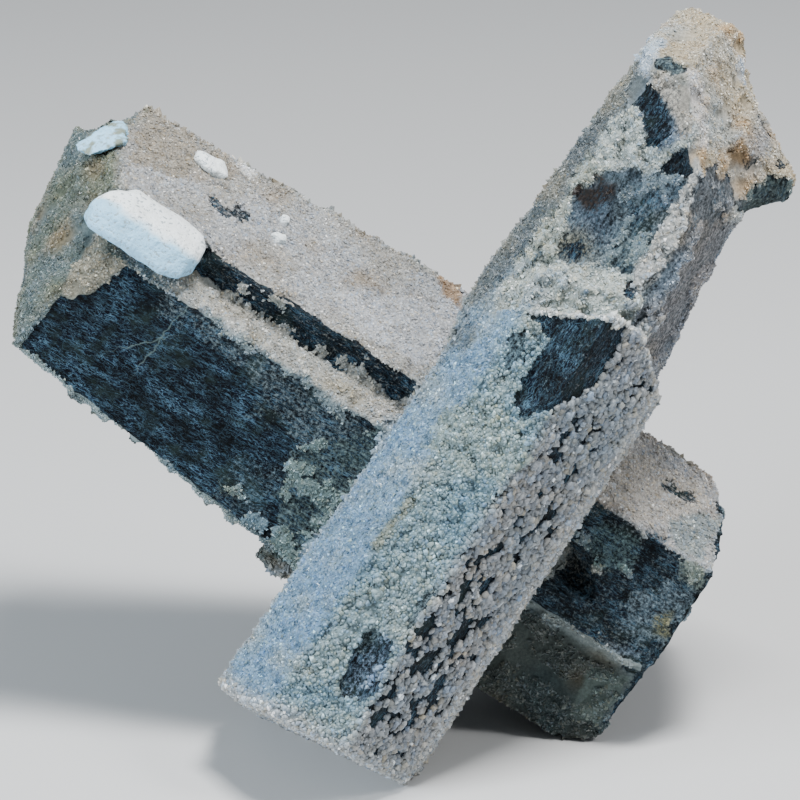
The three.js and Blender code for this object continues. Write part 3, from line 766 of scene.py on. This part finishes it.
# Random turns, a matrix for each grain
def random_turns(count):
    q = random.normal(size=(count, 4))
    q /= np.linalg.norm(q, axis=1, keepdims=True)
    w, x, y, z = q.T
    rows = [
        [1 - 2 * (y * y + z * z), 2 * (x * y - z * w), 2 * (x * z + y * w)],
        [2 * (x * y + z * w), 1 - 2 * (x * x + z * z), 2 * (y * z - x * w)],
        [2 * (x * z - y * w), 2 * (y * z + x * w), 1 - 2 * (x * x + y * y)],
    ]
    return np.array(rows).transpose(2, 0, 1)


# One joined mesh of grains at places, with sizes, stretches and colours of their own
def grain_mesh(name, shapes, smooth, places, sizes, stretch, colours, shine):
    turns = random_turns(len(places))
    kinds = random.integers(len(shapes), size=len(places))
    vertices, faces, tints, shines = [], [], [], []
    start = 0
    for kind, (shape, shape_faces) in enumerate(shapes):
        own = np.flatnonzero(kinds == kind)
        turned = np.einsum("nij,vj->nvi", turns[own], shape) * (sizes[own] / 2)[:, None, None]
        turned = turned + np.einsum("nvi,ni,nj->nvj", turned, stretch[own], stretch[own])
        vertices.append((turned + places[own][:, None]).reshape(-1, 3))
        offsets = start + len(shape) * np.arange(len(own))
        faces.append((shape_faces[None] + offsets[:, None, None]).reshape(-1, 3))
        tints.append(np.repeat(colours[own], len(shape), axis=0))
        shines.append(np.repeat(shine[own], len(shape)))
        start += len(own) * len(shape)
    vertices = boxed(np.concatenate(vertices))
    faces = np.concatenate(faces)
    return mesh_piece(name, vertices, faces, np.concatenate(tints), smooth, shine=np.concatenate(shines))


# The crust: grains strewn over the hornblende where zones ask
def crust_pieces(row, quads, found, fine_shapes, round_shapes):
    places, normals, nearest = strewn(row, quads, GRAIN_CANDIDATES)
    plane = to_plane(places)
    size = found["size"][nearest]
    kept = np.flatnonzero(found["crusted"][nearest] > random.uniform(*GRAIN_EDGE, len(places)))
    picked = []
    lowest = 0
    for highest in SIZE_CLASSES:
        group = kept[(size[kept] >= lowest) & (size[kept] < highest)]
        if len(group):
            cell = SPACING * size[group].mean()
            picked.append(group[thinned(plane[group], cell)])
        lowest = highest
    picked = np.concatenate(picked)
    random.shuffle(picked)
    spread = np.exp(random.normal(0, SIZE_SPREAD, len(picked)))
    sizes = size[picked] * np.clip(spread, *SIZE_RANGE)
    tint = found["tint"][nearest[picked]]
    single = np.exp(random.normal(TONE_MEAN, TONE_SPREAD, (len(picked), 1)))
    warmth = random.normal(0, WARMTH_SPREAD, (len(picked), 1)) * WARMTH
    colours = np.clip(tint * single * (1 + warmth), 0, BRIGHTEST)
    shine = random.random(len(picked))
    # Painted highlights: a few grains get a much brighter colour, as glints that shine whatever the light
    painted_glint = random.random(len(picked)) < PAINTED_GLINT_SHARE
    colours[painted_glint] = np.clip(PAINTED_GLINT_GAIN * tint[painted_glint], 0, PAINTED_GLINT_BRIGHTEST)
    sizes[painted_glint] *= PAINTED_GLINT_SIZE
    lift = places[picked] - normals[picked] * (GRAIN_SINK * sizes)[:, None]
    front = crystal_axes(FRONT_FRAME)[:, 0] @ PLANE_TO_ROW.T
    longer = np.where(found["zone"][nearest[picked]] == "coarse", COARSE_STRETCH, 0.0)
    stretch = np.sqrt(longer)[:, None] * front
    rounded = np.isin(found["zone"][nearest[picked]], ROUNDED_ZONES)
    pieces = []
    for kind, shapes, group in (
        ("fine", fine_shapes, np.flatnonzero(~rounded)),
        ("round", round_shapes, np.flatnonzero(rounded)),
    ):
        for number, first in enumerate(range(0, len(group), MOST_GRAINS)):
            own = group[first : first + MOST_GRAINS]
            look = (lift[own], sizes[own], stretch[own], colours[own], shine[own])
            pieces.append(grain_mesh(f"crust_{kind}_{number + 1}", shapes, kind == "round", *look))
    return pieces


# Nodes that the materials are made of
def new_material(name):
    material = bpy.data.materials.new(name)
    material.use_nodes = True
    return material, material.node_tree, material.node_tree.nodes["Principled BSDF"]


# A node's inputs, each linked to another node's output or set to a value
def feed(tree, node, inputs):
    for key, value in inputs.items():
        socket = node.inputs[key]
        if hasattr(value, "is_linked"):
            tree.links.new(value, socket)
        else:
            socket.default_value = (*value, 1) if socket.type == "RGBA" else value


# The output of a new node with these inputs and settings
def new_node(tree, kind, inputs, output=0, **settings):
    node = tree.nodes.new("ShaderNode" + kind)
    for key, value in settings.items():
        setattr(node, key, value)
    feed(tree, node, inputs)
    return node.outputs[output]


def attribute(tree, name, output="Fac"):
    return new_node(tree, "Attribute", {}, output, attribute_name=name)


def object_coords(tree):
    return new_node(tree, "TexCoord", {}, "Object")


def scaled(tree, vector, scale):
    return new_node(tree, "Mapping", {"Vector": vector, "Scale": scale}, "Vector")


def noise_node(tree, vector, scale, detail=4, roughness=0.6, output="Fac"):
    inputs = {"Vector": vector, "Scale": scale, "Detail": detail, "Roughness": roughness}
    return new_node(tree, "TexNoise", inputs, output)


# Colours by stops of (value, colour)
def ramp(tree, value, stops):
    node = tree.nodes.new("ShaderNodeValToRGB")
    elements = node.color_ramp.elements
    while len(elements) < len(stops):
        elements.new(0.5)
    for element, (place, colour) in zip(elements, stops):
        element.position = place
        element.color = (*colour, 1)
    tree.links.new(value, node.inputs["Fac"])
    return node.outputs["Color"]


def grey(level):
    return (level, level, level)


# Greys by stops of (value, level)
def tones(tree, value, stops):
    return ramp(tree, value, [(place, grey(level)) for place, level in stops])


def mixed(tree, share, first, second, way="MIX"):
    inputs = {0: share, 6: first, 7: second}
    return new_node(tree, "Mix", inputs, 2, data_type="RGBA", blend_type=way)


def math_node(tree, operation, first, second=0):
    return new_node(tree, "Math", {0: first, 1: second}, operation=operation)


# A noise moved to lie around zero, and spread
def centred(tree, value, spread):
    return math_node(tree, "MULTIPLY", math_node(tree, "SUBTRACT", value, 0.5), spread)


# Thin lines where a noise passes its middle value
def hair(tree, vector, width):
    field = centred(tree, noise_node(tree, vector, 1.0, 3, 0.55), 1.0)
    return tones(tree, math_node(tree, "ABSOLUTE", field), [(0, 1), (width, 0)])


def bumped(tree, height, strength, distance, invert=False):
    inputs = {"Height": height, "Strength": strength, "Distance": distance}
    return new_node(tree, "Bump", inputs, "Normal", invert=invert)


# Bare hornblende: its patterns' scales per mm along and across a crystal, and their colours and tones
STREAK_SCALE = (0.7, 3.6, 1)
STREAK_COLOURS = [(0.4, (0.0003, 0.0006, 0.002)), (0.54, (0.002, 0.004, 0.009)), (0.7, (0.011, 0.024, 0.045))]
BLOTCH_SCALE = (0.35, 0.6, 1)
BLOTCH_TONES = [(0.36, 0.12), (0.5, 0.6), (0.66, 1.7)]
CURL_SCALE = 0.9
CURL_REACH = (0.9, 0.5, 0)
HAIR_WIDTH = 0.03
HAIRS = [((0.8, 2.6, 1), 0.7, (0.055, 0.115, 0.17)), ((1.9, 4.2, 1), 0.5, (0.065, 0.115, 0.155))]
CAST_SCALE = 0.28
CAST_SHARE = [(0.52, 0), (0.68, 0.3)]
GREEN_CAST = (0.025, 0.045, 0.04)
VEIN_WAVER = 1.2
VEIN_WAVER_SCALE = 0.8
VEIN_SHARE = [(0, 0.65), (0.1, 0)]
VEIN_COLOUR = (0.09, 0.13, 0.13)
BARE_ROUGHNESS = [(0.3, 0.4), (0.7, 0.65)]

# Powder on it, the crust's floor between the grains, speckled and somewhat darker on the whole as painted
# shade between them, and the ragged edge of that, with scales per metre
SPECK_SCALE = 3600
POWDER_STREAKS = 0.3
POWDER_SPREAD = 2.2
POWDER_SHARE = [(0.15, 0), (0.7, 1)]
POWDER_TONES = [(0.38, 0.3), (0.62, 1.3)]
FLOOR_TONES_AND_SHADE = [(0.32, 0.5), (0.68, 1.15)]
FLOOR_ROUGHNESS = 0.85
EDGE_SCALE = 1500
EDGE_SPREAD = 0.9
EDGE_SHARE = [(0.42, 0), (0.58, 1)]


# Dark bare hornblende with streaks along the crystal, and the crust's own floor between its grains
def hornblende_material():
    material, tree, shader = new_material("hornblende")
    tint = attribute(tree, "tint", "Color")
    along = attribute(tree, "along", "Vector")
    coords = object_coords(tree)

    streaks = noise_node(tree, scaled(tree, along, STREAK_SCALE), 1.0, 7, 0.7)
    dark = ramp(tree, streaks, STREAK_COLOURS)
    swirl = noise_node(tree, along, CURL_SCALE, 2, 0.5, "Color")
    curl = new_node(tree, "VectorMath", {0: swirl, 1: CURL_REACH, 2: along}, operation="MULTIPLY_ADD")
    for scale, share, colour in HAIRS:
        strands = hair(tree, scaled(tree, curl, scale), HAIR_WIDTH)
        dark = mixed(tree, math_node(tree, "MULTIPLY", strands, share), dark, colour)
    blotches = noise_node(tree, scaled(tree, along, BLOTCH_SCALE), 1.0, 5, 0.65)
    dark = mixed(tree, 1.0, dark, tones(tree, blotches, BLOTCH_TONES), "MULTIPLY")
    cast = tones(tree, noise_node(tree, along, CAST_SCALE, 3), CAST_SHARE)
    dark = mixed(tree, cast, dark, GREEN_CAST)

    waver = centred(tree, noise_node(tree, along, VEIN_WAVER_SCALE), VEIN_WAVER)
    for name in ("vein_1", "vein_2"):
        from_vein = math_node(tree, "ADD", attribute(tree, name), waver)
        thin = tones(tree, math_node(tree, "ABSOLUTE", from_vein), VEIN_SHARE)
        dark = mixed(tree, thin, dark, VEIN_COLOUR)

    specks = noise_node(tree, coords, SPECK_SCALE, 5, 0.75)
    powder = mixed(tree, POWDER_STREAKS, specks, streaks)
    powdered = math_node(tree, "ADD", centred(tree, powder, POWDER_SPREAD), attribute(tree, "dust"))
    powder_colour = mixed(tree, 1.0, tint, tones(tree, powder, POWDER_TONES), "MULTIPLY")
    dark = mixed(tree, tones(tree, powdered, POWDER_SHARE), dark, powder_colour)

    # The crust's floor: the tint speckled at random, and on the whole somewhat darker than the grains as
    # painted shade in the gaps
    floor = mixed(tree, 1.0, tint, tones(tree, specks, FLOOR_TONES_AND_SHADE), "MULTIPLY")
    ragged = centred(tree, noise_node(tree, coords, EDGE_SCALE), EDGE_SPREAD)
    edge = tones(tree, math_node(tree, "ADD", attribute(tree, "bare"), ragged), EDGE_SHARE)
    sheen = tones(tree, streaks, BARE_ROUGHNESS)
    look = {
        "Base Color": mixed(tree, edge, floor, dark),
        "Roughness": mixed(tree, edge, grey(FLOOR_ROUGHNESS), sheen),
        "Specular IOR Level": 0.08,
        "Normal": bumped(tree, mixed(tree, edge, specks, streaks), strength=0.6, distance=0.15 * MM),
    }
    feed(tree, shader, look)
    return material


# The grains' mottling and gloss
GRAIN_SPECK_SCALE = 4500
GRAIN_TONES = [(0.34, 0.65), (0.64, 1.15)]
GRAIN_ROUGHNESS = [(0.3, 0.7), (0.95, 0.15)]


# Grains: their own colours, mottled, and matt to glassy
def grain_material():
    material, tree, shader = new_material("crust_grains")
    specks = noise_node(tree, object_coords(tree), GRAIN_SPECK_SCALE, 4, 0.75)
    mottle = tones(tree, specks, GRAIN_TONES)
    tint = attribute(tree, "tint", "Color")
    look = {
        "Base Color": mixed(tree, 1.0, tint, mottle, "MULTIPLY"),
        "Roughness": tones(tree, attribute(tree, "shine"), GRAIN_ROUGHNESS),
        "Specular IOR Level": 0.5,
        "Subsurface Weight": 0.35,
        "Subsurface Radius": (1, 1, 1),
        "Subsurface Scale": 0.35 * MM,
        "Normal": bumped(tree, specks, strength=0.6, distance=0.08 * MM),
    }
    feed(tree, shader, look)
    return material


# The apatite's clouds, grey blemishes and pits, with scales per metre
CLOUD_SCALE = 700
CLOUD_TONES = [(0.35, 0.88), (0.6, 1)]
BLEMISH_SCALE = 1100
BLEMISH_SHARE = [(0.58, 0), (0.7, 0.5)]
BLEMISH_COLOUR = (0.5, 0.56, 0.56)
PIT_SCALE = 2900
PIT_SHARE = [(0.58, 0), (0.66, 0.85)]
PIT_COLOUR = (0.25, 0.31, 0.35)


# Chalky apatite: white to pale blue, with small grey pits
def apatite_material():
    material, tree, shader = new_material("apatite")
    coords = object_coords(tree)
    clouds = tones(tree, noise_node(tree, coords, CLOUD_SCALE, 5, 0.65), CLOUD_TONES)
    chalk = mixed(tree, 1.0, attribute(tree, "tint", "Color"), clouds, "MULTIPLY")
    blemishes = tones(tree, noise_node(tree, coords, BLEMISH_SCALE, 6, 0.75), BLEMISH_SHARE)
    chalk = mixed(tree, blemishes, chalk, BLEMISH_COLOUR)
    pits = noise_node(tree, coords, PIT_SCALE, 2)
    chalk = mixed(tree, tones(tree, pits, PIT_SHARE), chalk, PIT_COLOUR)
    look = {
        "Base Color": chalk,
        "Roughness": 0.7,
        "Specular IOR Level": 0.3,
        "Normal": bumped(tree, pits, strength=1.0, distance=0.2 * MM, invert=True),
    }
    feed(tree, shader, look)
    return material


def use(piece, material):
    piece.data.materials.append(material)
    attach(piece, "root")


bodies, surface, surface_quads, found = hornblende_body()
dark = hornblende_material()
for body in bodies:
    use(body, dark)
    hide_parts("hornblende_crystals")

fine_shapes = grain_shapes(SHAPE_COUNT, FINE_CORNERS)
round_shapes = grain_shapes(SHAPE_COUNT, ROUND_CORNERS)
grains = grain_material()
for piece in crust_pieces(surface, surface_quads, found, fine_shapes, round_shapes):
    use(piece, grains)

# Apatite: its mesh's cell, how far it wears and is uneven, and how far its underside settles, in mm
APATITE_CELL = 0.15
ROUNDING = 8
WEAR = 0.1
UNEVEN = 0.12
END_UNEVEN = 0.45
UNEVEN_CELL = 0.9
SETTLE = 0.8
SETTLE_BAND = (-0.2, 0.4)
NEAREST_COUNT = 200

# A fleck's outline: its mean share of the solid's reach, and how far single lobes differ
FLECK_REACH = 0.86
FLECK_LOBES = 0.16
LOBE_GAIN = 1.6
LOBE_CELL = 0.55

# Its colours: white above its facets' edge, pale blue in front, and a stain on the end crystal
WHITE = np.array([0.9, 0.97, 1.0])
PALE_BLUE = np.array([0.35, 0.66, 0.9])
END_STAIN = np.array([0.2, 0.24, 0.2])
STAIN_BAND = (0.0, 0.35)
FACET_BAND = (2.7, 3.6)
FACET_WANDER = 0.5
FACET_CELL = 1.5


# The solid with rounded, slightly uneven faces
def apatite_piece(node):
    at_end = node == "apatite_end_crystal"
    row, _, edges, quads = remeshed(node, APATITE_CELL)
    middle = row.mean(0)
    away = row - middle
    aim = away / np.maximum(np.linalg.norm(away, axis=1, keepdims=True), 1e-6)
    if "fleck" in node:
        lobes = np.clip(LOBE_GAIN * noise(aim + row.mean(), LOBE_CELL, 43, 2), -1, 1)
        row = middle + away * (FLECK_REACH + FLECK_LOBES * lobes)[:, None]
    row = relaxed(row, edges, ROUNDING)
    if node != "apatite_crystal":
        reach = surface - middle
        near = np.argsort((reach * reach).sum(1))[:NEAREST_COUNT]
        inward = reach[near].mean(0) / np.linalg.norm(reach[near].mean(0))
        settled = smooth_step((row - middle) @ inward, *SETTLE_BAND)
        row = row + inward * SETTLE * settled[:, None]
    uneven = END_UNEVEN if at_end else UNEVEN
    row = row - aim * (WEAR + uneven * noise(row, UNEVEN_CELL, 41))[:, None]
    height = to_crystal(to_plane(row), REAR_FRAME)[:, 1] + FACET_WANDER * noise(row, FACET_CELL, 42)
    upward = smooth_step(height, *FACET_BAND)[:, None]
    tint = PALE_BLUE + upward * (WHITE - PALE_BLUE)
    if at_end:
        stained = smooth_step(noise(row, UNEVEN_CELL, 44), *STAIN_BAND)[:, None]
        tint = PALE_BLUE + stained * (END_STAIN - PALE_BLUE)
    return mesh_piece(node + "_grown", row, quads, tint)


apatite = apatite_material()
for node in [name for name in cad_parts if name.startswith("apatite")]:
    piece = apatite_piece(node)
    use(piece, apatite)
    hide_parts(node)

# The stage, in metres: a pale floor, and soft square lights by place, size, power and colour
FLOOR_SIZE = 3.0
FLOOR_COLOUR = (0.62, 0.63, 0.64)
FLOOR_MATT = 0.6
SKY_COLOUR = (0.85, 0.92, 1)
SKY_STRENGTH = 0.25
WARM = (1, 0.99, 0.97)
COOL = (0.86, 0.94, 1)
LIGHTS = {
    "key": ((0.08, -0.1, 0.46), 0.12, 3.7, WARM),
    "right": ((0.33, -0.18, 0.36), 0.12, 1.1, WARM),
    "left": ((-0.4, -0.25, 0.2), 0.18, 3.0, COOL),
}
LIT_POINT = Vector((0, 0, 0.03))

floor_corners = np.array([[-1, -1, 0], [1, -1, 0], [1, 1, 0], [-1, 1, 0]]) * FLOOR_SIZE / 2 / MM
floor = mesh_piece("floor", floor_corners, np.array([[0, 1, 2, 3]]))
floor_look, floor_tree, floor_shader = new_material("floor")
feed(floor_tree, floor_shader, {"Base Color": FLOOR_COLOUR, "Roughness": FLOOR_MATT})
floor.data.materials.append(floor_look)

world = bpy.data.worlds.new("studio")
bpy.context.scene.world = world
world.use_nodes = True
background = world.node_tree.nodes["Background"]
feed(world.node_tree, background, {"Color": SKY_COLOUR, "Strength": SKY_STRENGTH})

for name, (place, size, power, colour) in LIGHTS.items():
    light = bpy.data.lights.new(name, "AREA")
    light.size = size
    light.energy = power
    light.color = colour
    lamp = placed(name, light)
    lamp.location = place
    lamp.rotation_euler = (LIT_POINT - Vector(place)).to_track_quat("-Z", "Y").to_euler()

camera_data = bpy.data.cameras.new("camera")
camera_data.sensor_width = SENSOR
camera_data.lens = SENSOR * VIEW_DISTANCE / VIEW_WIDTH
camera = placed("camera", camera_data)
camera.location = Vector(to_row(np.array([0, 0, VIEW_DISTANCE])) * MM)
camera.rotation_euler = (math.pi / 2 - LEAN, 0, 0)
bpy.context.scene.camera = camera
